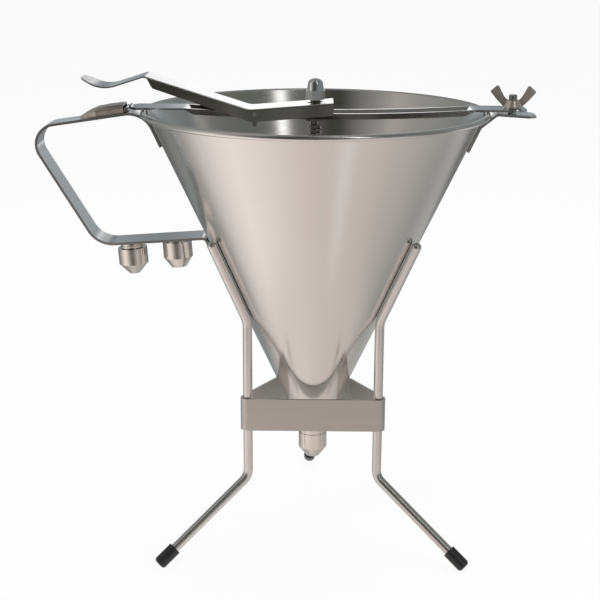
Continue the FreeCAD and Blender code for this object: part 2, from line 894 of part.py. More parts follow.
def make_wing_nut():
    bore = cell.stud_radius + cell.running_clearance

    def draw(sketch):
        draw_circle(sketch, cell.clamp_washer_radius)
        draw_circle(sketch, bore)
    washer = padded("clamp_washer", draw, cell.clamp_washer_height)
    place(washer, side(mm.stud_reach, bar_top()))

    foot = bar_top() + mm.clamp_washer_height
    hub_top = cell.wing_hub_height
    hub = turned_shape([
        (bore, ZERO),
        (cell.wing_hub_radius, ZERO),
        (cell.wing_hub_radius, cell.wing_hub_foot_height),
        (cell.wing_hub_top_radius, hub_top),
        (bore, hub_top),
    ], Vector())
    wings = [wing(way) for way in (1, -1)]
    nut = hub.fuse(wings)
    item = made("wing_nut", nut.cut(upright_hole(bore.number, 0, nut)))
    place(item, side(mm.stud_reach, foot), Rotation(UP, mm.wing_turn))


def wing(way):
    """One ear of the wing nut: a plate that sweeps out and up from the hub."""
    hub = mm.wing_hub_radius
    half_span = mm.wing_span / 2
    top = mm.wing_height
    outline = [
        side(hub * 0.45, 0.3),
        side(hub * 0.95, 0.0),
        side(half_span * 0.69, top * 0.32),
        side(half_span, top * 0.7),
        side(half_span * 0.66, top),
        side(half_span * 0.38, top * 0.46),
        side(hub * 0.55, mm.wing_hub_height),
    ]
    corner_radii = [0.2, 1.2, 4.0, 1.0, 1.0, 4.0, 0.2]
    plate = extruded(rounded_loop(outline, corner_radii), mm.wing_thickness)
    if way < 0:
        plate.rotate(Vector(), UP, 180)
    return plate


# Lever


def lever_path():
    """Corners of the lever's underside, from the thumb tab's tip to the end over the rod."""
    return [
        side(-mm.lever_tip_reach, rim_z + mm.lever_tip_rise - mm.lever_sheet),
        side(-mm.lever_valley_reach, rim_z + mm.lever_valley_rise - mm.lever_sheet),
        side(-mm.lever_ridge_reach, rim_z + mm.lever_ridge_rise - mm.lever_sheet),
        side(-mm.lever_knee_reach, rim_z + mm.lever_knee_rise - mm.lever_sheet),
        side(mm.lever_end_reach, rim_z + mm.lever_end_rise - mm.lever_sheet),
    ]


def make_lever():
    sheet_size = mm.lever_sheet
    path = lever_path()
    radii = [mm.lever_valley_bend, mm.lever_ridge_bend, mm.lever_knee_bend]
    plate = folded_strip(path, radii, sheet_size, mm.lever_width)
    cheek = Part.Wire(Part.__sortEdges__(cheek_edges(path)))
    half = mm.lever_width / 2
    starts = (-half, half - sheet_size)
    sides = [extruded(part, sheet_size, start) for part in (cheek, lug()) for start in starts]
    lever = plate.fuse(sides).removeSplitter()
    lever = lever.makeFillet(mm.lever_edge_round, long_top_edges(lever, path, radii))
    lever = lever.common(lever_plan(lever))
    slot_half = mm.lever_slot_width / 2
    slot_reach = mm.lever_slot_length / 2 - slot_half
    cuts = [upright_hole(slot_half, way * slot_reach, lever) for way in (-1, 1)]
    cuts.append(upright_box(-slot_reach, slot_reach, -slot_half, slot_half, lever))
    cuts.append(crossways_hole(mm.pivot_pin_radius + mm.press_gap, -mm.pivot_reach, pivot_height(), lever))
    made("lever", lever.cut(cuts))


def cheek_edges(path):
    """The cheek's outline: along the plate's middle from the left end, then back underneath."""
    ridge, knee, end = path[2:]
    lift = mm.lever_sheet / 2
    start_share = (mm.lever_ridge_reach - mm.lever_cheek_reach) / (mm.lever_ridge_reach - mm.lever_knee_reach)
    start = ridge + (knee - ridge) * start_share
    upper = [start + UP * lift, knee + UP * lift, end + UP * lift]
    top = rounded_path(upper, [mm.lever_knee_bend])
    toe = start + side(mm.lever_toe_run, -mm.lever_toe_depth)
    low_point = side(-mm.lever_low_point_reach, knee.z + mm.lever_sheet - mm.lever_low_point_depth)
    end_low = end + UP * (mm.lever_sheet - mm.lever_end_depth)
    radii = [mm.lever_end_round, mm.lever_low_point_bend, mm.lever_toe_round]
    return top + rounded_path([upper[-1], end_low, low_point, toe, upper[0]], radii)


def lug():
    """The outline of the round-ended lug that hangs from each cheek below the pivot."""
    radius = mm.lever_lug_width / 2
    low = pivot_height() - mm.lever_lug_hang
    left = -mm.pivot_reach - radius
    right = -mm.pivot_reach + radius
    round_end = Part.Arc(side(left, low + radius), side(-mm.pivot_reach, low), side(right, low + radius))
    lines = [
        Part.LineSegment(side(right, low + radius), side(right, pivot_height())),
        Part.LineSegment(side(right, pivot_height()), side(left, pivot_height())),
        Part.LineSegment(side(left, pivot_height()), side(left, low + radius)),
    ]
    return Part.Wire([line.toShape() for line in [round_end] + lines])


def long_top_edges(lever, path, radii):
    """The two long bends between the lever's plate and its sides, right of the thumb tab."""
    upper = Part.Wire(rounded_path(*offset_path(path, radii, mm.lever_sheet)))
    half = mm.lever_width / 2
    lines = [upper.translated(ACROSS * way * half) for way in (-1, 1)]
    edges = []
    for edge in lever.Edges:
        middle = edge.valueAt((edge.FirstParameter + edge.LastParameter) / 2)
        on_line = min(line.distToShape(Part.Vertex(middle))[0] for line in lines) < 0.001
        if on_line and middle.x > -mm.lever_cheek_reach:
            edges.append(edge)
    return edges


def lever_plan(lever):
    """The lever's outline from above: straight sides and a rounded thumb tip."""
    box = lever.BoundBox
    half = mm.lever_width / 2 + mm.press_gap
    tip = box.XMin - mm.weld_gap
    corners = [
        Vector(tip, -half, box.ZMin - OVERRUN),
        Vector(box.XMax + OVERRUN, -half, box.ZMin - OVERRUN),
        Vector(box.XMax + OVERRUN, half, box.ZMin - OVERRUN),
        Vector(tip, half, box.ZMin - OVERRUN),
    ]
    radii = [mm.lever_tip_round, mm.weld_gap, mm.weld_gap, mm.lever_tip_round]
    return Part.Face(rounded_loop(corners, radii)).extrude(UP * (box.ZLength + 2 * OVERRUN))


def make_pivot_pin():
    """A pin through the bar, the hinge block and both cheeks, pressed in and ground flush."""
    pin = keep(doc.addObject("Part::Cylinder", "pivot_pin"), "pivot_pin")
    pin.setExpression("Radius", cell.pivot_pin_radius.formula)
    pin.setExpression("Height", cell.lever_width.formula)
    place(pin, Vector(-mm.pivot_reach, -mm.lever_width / 2, pivot_height()), Rotation(UP, ACROSS))


def rod_along(points, radii, radius):
    """A round rod along a path of straight runs and arcs."""
    edges = rounded_path(points, radii)
    section = Part.Wire([Part.Circle(points[0], points[1] - points[0], radius).toShape()])
    return Part.Wire(edges).makePipeShell([section], True, False)


# Plunger


def plug_foot():
    """The height of the plug's lower edge, where its seat ends."""
    return cone_foot.number - mm.plug_seat_height


def make_plunger():
    radius = cell.rod_radius
    crest = cell.rod_thread_radius
    groove = radius - cell.clip_groove_depth
    chamfer = cell.rod_tip_chamfer
    foot = as_size(plug_foot() + mm.plug_seat_gap) + cell.plug_socket_floor
    groove_top = as_size(spring_foot()) - cell.spring_collar_height
    groove_foot = groove_top - cell.clip_height - cell.weld_gap * 2
    thread_start = rim_height + cell.rod_thread_start_rise
    thread_foot = thread_start + crest - radius
    tip = rim_height + cell.nut_rise + cell.nut_height - cell.nut_wall - cell.rod_tip_gap
    thread_top = tip - chamfer
    corners = [
        (ZERO, foot),
        (radius, foot),
        (radius, groove_foot),
        (groove, groove_foot),
        (groove, groove_top),
        (radius, groove_top),
        (radius, thread_start),
        (crest, thread_foot),
    ]
    corners += reversed(threads(crest, cell.rod_thread_depth, cell.rod_thread_pitch, thread_top, thread_foot))
    corners += [(crest, thread_top), (crest - chamfer, tip), (ZERO, tip)]
    made("plunger_rod", turned_shape(corners, Vector()))


def make_nut():
    """The domed nut: a padded hexagon, a turned dome and a blind threaded hole."""
    body = new_body("acorn_nut")
    sketch = new_sketch(body, "XY_Plane", "acorn_nut_hexagon")
    half = cell.nut_flats / 2
    corner = cell.nut_flats / math.sqrt(3)
    draw_outline(sketch, [
        (corner, ZERO), (corner / 2, half), (-corner / 2, half),
        (-corner, ZERO), (-corner / 2, -half), (corner / 2, -half),
    ])
    pad = body.newObject("PartDesign::Pad", "acorn_nut_pad")
    pad.Profile = sketch
    pad.setExpression("Length", cell.nut_hex_height.formula)
    dome = new_sketch(body, "XZ_Plane", "acorn_nut_dome")
    low = cell.nut_hex_height / 2
    wide = cell.nut_dome_radius
    shoulder = cell.nut_height - cell.nut_dome_rise
    foot = cell.nut_dome_foot_radius
    crown = [(ZERO, low), (foot, low), (foot, cell.nut_hex_height), (wide, shoulder)]
    for degrees in range(15, 90, 15):
        turn = math.radians(degrees)
        crown.append((wide * math.cos(turn), shoulder + cell.nut_dome_rise * math.sin(turn)))
    crown.append((ZERO, cell.nut_height))
    draw_outline(dome, crown)
    turn = body.newObject("PartDesign::Revolution", "acorn_nut_turned")
    turn.Profile = dome
    turn.ReferenceAxis = (dome, ["V_Axis"])
    turn.Angle = 360
    hole = new_sketch(body, "XZ_Plane", "acorn_nut_hole")
    bore = cell.rod_thread_radius + cell.weld_gap
    depth = cell.nut_height - cell.nut_wall
    draw_outline(hole, [(ZERO, ZERO), (bore, ZERO), (bore, depth - cell.nut_drill_point), (ZERO, depth)])
    groove = body.newObject("PartDesign::Groove", "acorn_nut_bored")
    groove.Profile = hole
    groove.ReferenceAxis = (hole, ["V_Axis"])
    groove.Angle = 360
    body.Tip = groove
    place(body, side(0, rim_z + mm.nut_rise), Rotation(UP, mm.nut_turn))


def ring_outline(outer, inner):
    def draw(sketch):
        draw_circle(sketch, outer)
        draw_circle(sketch, inner)
    return draw


def washer_foot():
    """The height of the lower face of the washer under the bar."""
    return trough_floor(0) - mm.bar_thickness - mm.weld_gap * 2 - mm.spring_washer_height


def spring_foot():
    """The height of the spring's lower end, on its collar."""
    return washer_foot() - mm.spring_length


def make_rings():
    shaft = cell.rod_radius
    free = cell.rod_radius + cell.rod_hole_clearance
    close = shaft + cell.running_clearance
    washer = padded("spring_washer", ring_outline(cell.spring_washer_radius, free), cell.spring_washer_height)
    place(washer, side(0, washer_foot()))
    collar_ring = ring_outline(cell.spring_collar_radius, close)
    collar = padded("spring_collar", collar_ring, cell.spring_collar_height)
    place(collar, side(0, spring_foot() - mm.spring_collar_height))
    groove = shaft - cell.clip_groove_depth + cell.weld_gap
    clip = padded("retaining_ring", ring_outline(cell.clip_radius, groove), cell.clip_height)
    place(clip, side(0, spring_foot() - mm.spring_collar_height - mm.clip_height - mm.weld_gap))


def make_plug():
    """The plug on the rod's foot. Its taper lies a seat gap inside the spout's taper."""
    seat_top = cell.spout_radius - wall_across
    lean = (seat_top - cell.spout_bore_radius) / cell.plug_seat_height
    foot_radius = cell.spout_bore_radius - cell.plug_seat_gap
    seat_end = (cell.plug_radius - foot_radius) / lean
    socket = cell.rod_radius + cell.weld_gap
    top = cell.plug_height
    socket_floor = cell.plug_socket_floor - cell.weld_gap
    plug = turned("plug", [
        (ZERO, -cell.plug_tip_height),
        (cell.plug_tip_radius, -cell.plug_tip_height),
        (foot_radius, ZERO),
        (cell.plug_radius, seat_end),
        (cell.plug_radius, top - cell.plug_chamfer),
        (cell.plug_radius - cell.plug_chamfer, top),
        (socket, top),
        (socket, socket_floor),
        (ZERO, socket_floor),
    ])
    place(plug, side(0, plug_foot() + mm.plug_seat_gap))


# Return spring


def bisect_arcs(start, start_way, end, end_way):
    """Two arcs that join two points with given directions, each arc meeting the other smoothly."""
    chord = end - start
    total = start_way + end_way
    spare = 2 * (1 - start_way.dot(end_way))
    along = chord.dot(total)
    reach = (math.sqrt(along ** 2 + spare * chord.dot(chord)) - along) / spare
    joint = (start + start_way * reach + end - end_way * reach) * 0.5
    return [arc_from(start, start_way, joint), arc_from(end, end_way * -1, joint)]


def arc_from(start, way, end):
    """The arc that leaves a point in a given direction and ends at another point."""
    chord = end - start
    half = chord.Length / 2
    ahead = Vector(chord).normalize()
    bulge = way - ahead * way.dot(ahead)
    angle = way.getAngle(chord)
    middle = start + chord * 0.5 + bulge.normalize() * (half * math.tan(angle / 2))
    return Part.Arc(start, middle, end).toShape()


def spring_path():
    """Straight ends square to the washer and the collar, with a helix of quarter turns between."""
    low = spring_foot()
    high = washer_foot()
    straight = 2 * mm.spring_wire_radius
    ease = mm.spring_pitch * 0.75
    helix_height = high - low - 2 * straight - 2 * ease
    quarters = int(helix_height / mm.spring_pitch * 4)
    climb = helix_height / quarters
    lead = math.atan2(climb * 4, 2 * math.pi * mm.spring_radius)

    def on_helix(quarter):
        turn = quarter * math.pi / 2
        point = Vector(math.cos(turn), math.sin(turn), 0) * mm.spring_radius
        point.z = low + straight + ease + quarter * climb
        way = Vector(-math.sin(turn), math.cos(turn), 0) * math.cos(lead)
        way.z = math.sin(lead)
        return point, way

    sideways = Vector(0, mm.spring_end_offset, 0)
    first = on_helix(0)[0] - sideways
    first.z = low
    last_turn = Rotation(UP, 90 * quarters)
    last = on_helix(quarters)[0] + last_turn.multVec(sideways)
    last.z = high
    edges = [Part.LineSegment(first, first + UP * straight).toShape()]
    stops = [(first + UP * straight, UP)] + [on_helix(q) for q in range(quarters + 1)]
    stops.append((last - UP * straight, UP))
    for (start, start_way), (end, end_way) in zip(stops, stops[1:]):
        edges += bisect_arcs(start, start_way, end, end_way)
    edges.append(Part.LineSegment(last - UP * straight, last).toShape())
    return edges, quarters / 4


def least_gap(points, skip, wire_radius):
    """The least distance between the wire and itself, past the nearest points along it."""
    least = 1e9
    for index, point in enumerate(points):
        for other in points[index + skip:index + skip * 6]:
            least = min(least, point.distanceToPoint(other))
    return least - 2 * wire_radius


def make_spring():
    edges, turns = spring_path()
    path = Part.Wire(Part.__sortEdges__(edges))
    radius = mm.spring_wire_radius
    foot = path.Vertexes[0].Point
    section = Part.Wire([Part.Circle(Vector(foot), UP, radius).toShape()])
    spring = path.makePipeShell([section], True, False)
    step = radius / 2
    points = path.discretize(Distance=step)
    skip = int(math.pi * mm.spring_radius / step)
    inside = min(math.hypot(p.x, p.y) for p in points) - radius - mm.rod_radius
    print(f"spring: {turns:.2f} turns, least gap to itself {least_gap(points, skip, radius):.2f} mm")
    print(f"spring: least gap to the rod {inside:.2f} mm, length {path.Length:.1f} mm")
    section_volume = math.pi * radius ** 2 * path.Length
    print(f"spring: volume {spring.Volume:.1f}, section times length {section_volume:.1f}")
    made("return_spring", spring)


# Stand


LEG_AZIMUTHS = {"front_left": 210, "front_right": 330, "rear": 90}
SEAM_AZIMUTH = 30


def leg_bends():
    """Radius and height of a leg's top, its two bends and its foot, in its own vertical plane."""
    away = (mm.leg_radius + mm.funnel_seat_gap) / math.cos(half_angle)
    top_z = rim_z - mm.leg_top_drop
    upper_z = rim_z - (mouth_radius.number + away - mm.leg_circle_radius) / math.tan(half_angle)
    knee_z = floor_z + mm.knee_height
    return [
        (cone_outside(top_z) + away, top_z),
        (mm.leg_circle_radius, upper_z),
        (mm.leg_circle_radius, knee_z),
    ]


def cap_end_distance(splay):
    """The distance from a leg's knee to its cap's end, so that the cap's flat meets the floor."""
    inset = mm.cap_radius - mm.cap_end_round
    reach = mm.knee_height + mm.cap_floor_flat - mm.cap_end_round - inset * math.sin(splay)
    return mm.cap_end_round + reach / math.cos(splay)


def make_leg(place_name, azimuth):
    """A leg and its cap. The rear leg's lower part is bent further out and a little aside."""
    rear = place_name == "rear"
    splay = math.radians(mm.rear_leg_splay_angle if rear else mm.leg_splay_angle)
    swing = mm.rear_leg_swing if rear else 0.0
    way = polar(math.sin(splay), azimuth + swing, -math.cos(splay))
    points = [polar(radius, azimuth, z) for radius, z in leg_bends()]
    knee = points[-1]
    cap_start = cap_end_distance(splay) - mm.cap_length
    points.append(knee + way * (cap_start + mm.cap_bore_depth))
    radii = [mm.leg_upper_bend, mm.leg_lower_bend]
    rod = rod_along(points, radii, mm.leg_radius)
    top = Part.makeSphere(mm.leg_radius, points[0])
    made(f"leg_{place_name}", rod.fuse(top).removeSplitter())
    made(f"foot_cap_{place_name}", foot_cap(knee + way * cap_start, way))


def foot_cap(start, way):
    cap = Part.makeCylinder(mm.cap_radius, mm.cap_length)
    end_edges = [edge for edge in cap.Edges if abs(edge.BoundBox.Center.z - mm.cap_length) < 0.01]
    cap = cap.makeFillet(mm.cap_end_round, end_edges)
    cap = cap.cut(Part.makeCylinder(mm.leg_radius + mm.weld_gap, mm.cap_bore_depth + mm.weld_gap))
    cap.Placement = Placement(start, Rotation(UP, way))
    box = cap.BoundBox
    corner = Vector(box.XMin, box.YMin, floor_z - box.ZLength)
    below = Part.makeBox(box.XLength, box.YLength, box.ZLength, corner)
    return cap.cut(below)


def collar_loop(inset):
    """The collar's outline seen from above: a triangle whose corners wrap the legs."""
    corner = mm.leg_radius + mm.weld_gap + mm.collar_thickness - inset
    reach = mm.leg_circle_radius + 2 * corner
    foot = mm.collar_top - mm.collar_height
    corners = [polar(reach, azimuth, foot) for azimuth in LEG_AZIMUTHS.values()]
    return rounded_loop(corners, [corner] * 3)


def make_collar():
    ring = Part.Face(collar_loop(0)).cut(Part.Face(collar_loop(mm.collar_thickness)))
    band = ring.extrude(UP * mm.collar_height)
    low = mm.collar_top - mm.collar_height - OVERRUN
    seam = Part.makeBox(mm.leg_circle_radius, mm.collar_seam, mm.collar_height + 2 * OVERRUN)
    seam.translate(Vector(0, -mm.collar_seam / 2, low))
    seam.rotate(Vector(), UP, SEAM_AZIMUTH)
    made("collar_band", band.cut(seam))


def build():
    make_cone()
    make_spout()
    nozzle = make_nozzle("mounted_nozzle", cell.medium_outlet_radius)
    seal = make_seal("mounted_nozzle_seal")
    place_nozzle(nozzle, seal, Vector(), Rotation())
    make_handle()
    make_hood()
    make_boss("outer_boss", mm.outer_boss_reach, "outer_spare_nozzle", cell.small_outlet_radius,
              mm.outer_nozzle_drop)
    make_boss("inner_boss", mm.inner_boss_reach, "inner_spare_nozzle", cell.large_outlet_radius,
              mm.inner_nozzle_drop)
    make_bar()
    make_bar_fittings()
    make_bracket()
    make_stud()
    make_wing_nut()
    make_lever()
    make_pivot_pin()
    make_plunger()
    make_nut()
    make_rings()
    make_plug()
    make_spring()
    for place_name, azimuth in LEG_AZIMUTHS.items():
        make_leg(place_name, azimuth)
    make_collar()


def write():
    """Checks every object and each sub-part's shape, then writes one STEP file a node."""
    doc.recompute()
    failed = [item.Name for item in doc.Objects if {"Invalid", "Error"} & set(item.State)]
    for item in nodes:
        shape = item.Shape
        if shape.isNull() or not shape.isValid() or len(shape.Solids) != 1:
            failed.append(f"{item.Label}: {len(shape.Solids)} solids")
    if failed:
        raise RuntimeError(f"not sound: {failed}")
    os.makedirs("parts", exist_ok=True)
    for item in nodes:
        item.Shape.exportStep(f"parts/{item.Label}.step")
        box = item.Shape.BoundBox
        low = f"{box.XMin:.1f} {box.YMin:.1f} {box.ZMin:.1f}"
        high = f"{box.XMax:.1f} {box.YMax:.1f} {box.ZMax:.1f}"
        print(f"{item.Label}: volume {item.Shape.Volume:.0f} from {low} to {high}")


build()
write()
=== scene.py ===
import math

import bpy
from mathutils import Matrix, Vector


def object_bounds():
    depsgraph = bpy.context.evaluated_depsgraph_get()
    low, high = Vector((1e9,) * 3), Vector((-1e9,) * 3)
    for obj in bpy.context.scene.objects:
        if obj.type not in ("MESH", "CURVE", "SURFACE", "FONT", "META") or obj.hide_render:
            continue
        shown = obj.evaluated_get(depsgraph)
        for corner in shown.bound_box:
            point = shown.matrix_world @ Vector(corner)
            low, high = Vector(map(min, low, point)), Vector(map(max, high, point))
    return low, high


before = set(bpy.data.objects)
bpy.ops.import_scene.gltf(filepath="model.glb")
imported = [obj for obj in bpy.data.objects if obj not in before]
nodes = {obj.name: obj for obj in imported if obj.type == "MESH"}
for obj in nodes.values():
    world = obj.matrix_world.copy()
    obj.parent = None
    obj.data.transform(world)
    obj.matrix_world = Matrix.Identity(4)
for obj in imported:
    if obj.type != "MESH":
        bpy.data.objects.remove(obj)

# The batter funnel in its stand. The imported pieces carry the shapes, and this script gives them
# their finishes and sets the studio.

cad_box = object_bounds()

FLOOR_HEIGHT = cad_box[0][2]

# Camera, fitted to the photograph
CAMERA_HEIGHT = 0.3707
CAMERA_PLACE = Vector((0.0, -0.7562, FLOOR_HEIGHT + CAMERA_HEIGHT))
CAMERA_PAN = math.radians(-0.63)
CAMERA_PITCH = math.radians(16.1)
CAMERA_ROLL = math.radians(0.29)
CAMERA_LENS = 77.87
SENSOR_WIDTH = 36.0


def clear_selection():
    bpy.ops.object.select_all(action="DESELECT")


# Finishes

# How far the grain's coordinates are stretched: round, up and outwards, or along X, Y and Z
ROUND_GRAIN = (1.2, 900.0, 900.0)
LENGTH_GRAIN = (12.0, 900.0, 900.0)
EVEN_GRAIN = (400.0, 400.0, 400.0)
GRAIN_DETAIL = 4.0
GRAIN_DEPTH = 0.0002

# Noise keeps mostly between these two values
NOISE_SPAN = (0.3, 0.7)
CLOUD_DETAIL = 3.0
STEEL_CLOUDS = 18.0

CAP_CLOUDS = 300.0
CAP_COLOURS = ((0.012, 0.012, 0.013), (0.022, 0.022, 0.024))
CAP_ROUGHNESS = (0.22, 0.34)
SEAL_CLOUDS = 400.0
SEAL_COLOURS = ((0.62, 0.59, 0.53), (0.70, 0.67, 0.62))
SEAL_ROUGHNESS = (0.5, 0.65)
RUBBER_BUMP = 0.1
RUBBER_DEPTH = 0.0001

# The upward share of a surface's direction over which the lever's painted shade on its cheeks passes to
# the painted highlight on its upper face
LEVER_FACING = (0.05, 0.8)
# Painted shade for the lever's cheeks and a painted highlight for its upper face, in place of what the
# sheet mirrors
LEVER_PAINTED_SHADE = (0.36, 0.34, 0.32)
LEVER_PAINTED_HIGHLIGHT = (0.82, 0.82, 0.82)
LEVER_ROUGHNESS = (0.14, 0.22)
LEVER_BUMP = 0.01


class Finish:
    """A material whose nodes are added one by one."""

    def __init__(self, name):
        self.material = bpy.data.materials.new(name)
        self.material.use_nodes = True
        self.tree = self.material.node_tree
        self.shader = self.tree.nodes["Principled BSDF"]
        self.output = self.tree.nodes["Material Output"]

    def add(self, kind, **settings):
        node = self.tree.nodes.new(kind)
        for key, value in settings.items():
            setattr(node, key, value)
        return node

    def join(self, start, end):
        self.tree.links.new(start, end)

    def position(self):
        return self.add("ShaderNodeTexCoord").outputs["Object"]

    def stretched(self, scale):
        mapping = self.add("ShaderNodeMapping")
        mapping.inputs["Scale"].default_value = scale
        self.join(self.position(), mapping.inputs["Vector"])
        return mapping.outputs["Vector"]

    def round_axis(self, angle_scale, height_scale, radius_scale):
        """Coordinates that run round the funnel's axis, so that the grain follows the rim."""
        split = self.add("ShaderNodeSeparateXYZ")
        self.join(self.position(), split.inputs[0])
        angle = self.add("ShaderNodeMath", operation="ARCTAN2")
        self.join(split.outputs["Y"], angle.inputs[0])
        self.join(split.outputs["X"], angle.inputs[1])
        flat = self.add("ShaderNodeVectorMath", operation="MULTIPLY")
        self.join(self.position(), flat.inputs[0])
        flat.inputs[1].default_value = (1, 1, 0)
        radius = self.add("ShaderNodeVectorMath", operation="LENGTH")
        self.join(flat.outputs["Vector"], radius.inputs[0])
        joined = self.add("ShaderNodeCombineXYZ")
        for source, scale, end in (
            (angle.outputs[0], angle_scale, "X"),
            (split.outputs["Z"], height_scale, "Y"),
            (radius.outputs["Value"], radius_scale, "Z"),
        ):
            scaled = self.add("ShaderNodeMath", operation="MULTIPLY")
            self.join(source, scaled.inputs[0])
            scaled.inputs[1].default_value = scale
            self.join(scaled.outputs[0], joined.inputs[end])
        return joined.outputs[0]

    def noise(self, place, scale, detail):
        node = self.add("ShaderNodeTexNoise")
        node.inputs["Scale"].default_value = scale
        node.inputs["Detail"].default_value = detail
        self.join(place, node.inputs["Vector"])
        return node.outputs["Fac"]

    def clouds(self, scale):
        """Soft patches, even in all directions."""
        return self.noise(self.position(), scale, CLOUD_DETAIL)

    def spread(self, source, low, high):
        """Noise brought to the range from low to high."""
        node = self.add("ShaderNodeMapRange")
        node.inputs["From Min"].default_value = NOISE_SPAN[0]
        node.inputs["From Max"].default_value = NOISE_SPAN[1]
        node.inputs["To Min"].default_value = low
        node.inputs["To Max"].default_value = high
        self.join(source, node.inputs["Value"])
        return node.outputs["Result"]

    def mixed(self, source, first, second):
        node = self.add("ShaderNodeMix", data_type="RGBA")
        node.inputs["A"].default_value = (*first, 1)
        node.inputs["B"].default_value = (*second, 1)
        self.join(source, node.inputs["Factor"])
        return node.outputs["Result"]

    def bump(self, source, strength, distance):
        node = self.add("ShaderNodeBump")
        node.inputs["Strength"].default_value = strength
        node.inputs["Distance"].default_value = distance
        self.join(source, node.inputs["Height"])
        self.join(node.outputs["Normal"], self.shader.inputs["Normal"])


def steel(name, tint, shade, rough, grain_place, grain_scale, bump):
    """Stainless steel: colour drifts between two tints, and the grain varies its roughness."""
    finish = Finish(name)
    finish.shader.inputs["Metallic"].default_value = 1.0
    colour = finish.mixed(finish.clouds(STEEL_CLOUDS), tint, shade)
    finish.join(colour, finish.shader.inputs["Base Color"])
    grain = finish.noise(grain_place(finish), grain_scale, GRAIN_DETAIL)
    finish.join(finish.spread(grain, *rough), finish.shader.inputs["Roughness"])
    finish.bump(grain, bump, GRAIN_DEPTH)
    return finish.material


def painted_light_channel_steel():
    """The lever's sheet with painted light: a painted highlight where it faces up, painted shade where it
    faces sideways or down.
    """
    finish = Finish("lever sheet with painted light")
    finish.shader.inputs["Metallic"].default_value = 1.0
    facing = finish.add("ShaderNodeSeparateXYZ")
    finish.join(finish.add("ShaderNodeNewGeometry").outputs["Normal"], facing.inputs[0])
    share = finish.add("ShaderNodeMapRange", interpolation_type="SMOOTHSTEP")
    finish.join(facing.outputs["Z"], share.inputs["Value"])
    share.inputs["From Min"].default_value = LEVER_FACING[0]
    share.inputs["From Max"].default_value = LEVER_FACING[1]
    # Painted light: by facing, the base colour passes from painted shade on the cheeks to a painted
    # highlight on top
    colour = finish.mixed(share.outputs["Result"], LEVER_PAINTED_SHADE, LEVER_PAINTED_HIGHLIGHT)
    finish.join(colour, finish.shader.inputs["Base Color"])
    grain = finish.noise(lengthwise(finish), 1.0, GRAIN_DETAIL)
    finish.join(finish.spread(grain, *LEVER_ROUGHNESS), finish.shader.inputs["Roughness"])
    finish.bump(grain, LEVER_BUMP, GRAIN_DEPTH)
    return finish.material


def drawn_round(finish):
    return finish.round_axis(*ROUND_GRAIN)


def lengthwise(finish):
    return finish.stretched(LENGTH_GRAIN)


def fine_all_round(finish):
    return finish.stretched(EVEN_GRAIN)


def rubber(name, clouds, colours, rough):
    finish = Finish(name)
    cloud = finish.clouds(clouds)
    finish.join(finish.mixed(cloud, *colours), finish.shader.inputs["Base Color"])
    finish.join(finish.spread(cloud, *rough), finish.shader.inputs["Roughness"])
    finish.bump(cloud, RUBBER_BUMP, RUBBER_DEPTH)
    return finish.material


# Each steel has its name, its two tints, its range of roughness, the way its grain runs, the
# grain's scale and the strength of its bump.
FINISHES = {
    "cone": steel(
        "cone steel", (0.78, 0.77, 0.76), (0.75, 0.74, 0.73), (0.13, 0.22), drawn_round, 1.0, 0.02),
    "sheet": steel(
        "polished sheet", (0.74, 0.74, 0.74), (0.70, 0.70, 0.70), (0.12, 0.18), lengthwise, 1.0, 0.01),
    "strip": steel(
        "satin strip", (0.72, 0.73, 0.74), (0.68, 0.69, 0.70), (0.14, 0.2), lengthwise, 1.0, 0.01),
    "pressed": steel(
        "pressed hood", (0.80, 0.74, 0.69), (0.66, 0.60, 0.55), (0.34, 0.46), fine_all_round, 0.4, 0.02),
    "cast": steel(
        "cast wings", (0.95, 0.90, 0.85), (0.84, 0.79, 0.74), (0.3, 0.42), fine_all_round, 0.4, 0.03),
    # The lever's colour holds painted shade and a painted highlight, set by facing
    "lever": painted_light_channel_steel(),
    "rod": steel(
        "drawn rod", (0.74, 0.73, 0.72), (0.69, 0.68, 0.67), (0.24, 0.3), fine_all_round, 0.3, 0.002),
    "band": steel(
        "matt band", (0.61, 0.595, 0.575), (0.56, 0.545, 0.525), (0.38, 0.48), lengthwise, 1.0, 0.04),
    "turned": steel(
        "turned steel", (0.80, 0.77, 0.74), (0.75, 0.72, 0.69), (0.12, 0.18), fine_all_round, 0.5, 0.004),
    "chrome": steel(
        "plated nut", (0.78, 0.79, 0.80), (0.74, 0.75, 0.76), (0.05, 0.08), fine_all_round, 0.3, 0.003),
    "small": steel(
        "small fittings", (0.60, 0.59, 0.58), (0.52, 0.51, 0.50), (0.16, 0.24), fine_all_round, 0.5, 0.01),
    # A darker steel, for the plunger rod and the spring washer
    "dim": steel(
        "dark shaft steel", (0.30, 0.29, 0.27), (0.22, 0.21, 0.195), (0.2, 0.3), fine_all_round, 0.5, 0.01),
    "wire": steel(
        "spring wire", (0.70, 0.66, 0.62), (0.58, 0.55, 0.52), (0.18, 0.28), fine_all_round, 0.5, 0.01),
    "cap": rubber("cap rubber", CAP_CLOUDS, CAP_COLOURS, CAP_ROUGHNESS),
    "seal": rubber("seal rubber", SEAL_CLOUDS, SEAL_COLOURS, SEAL_ROUGHNESS),
}

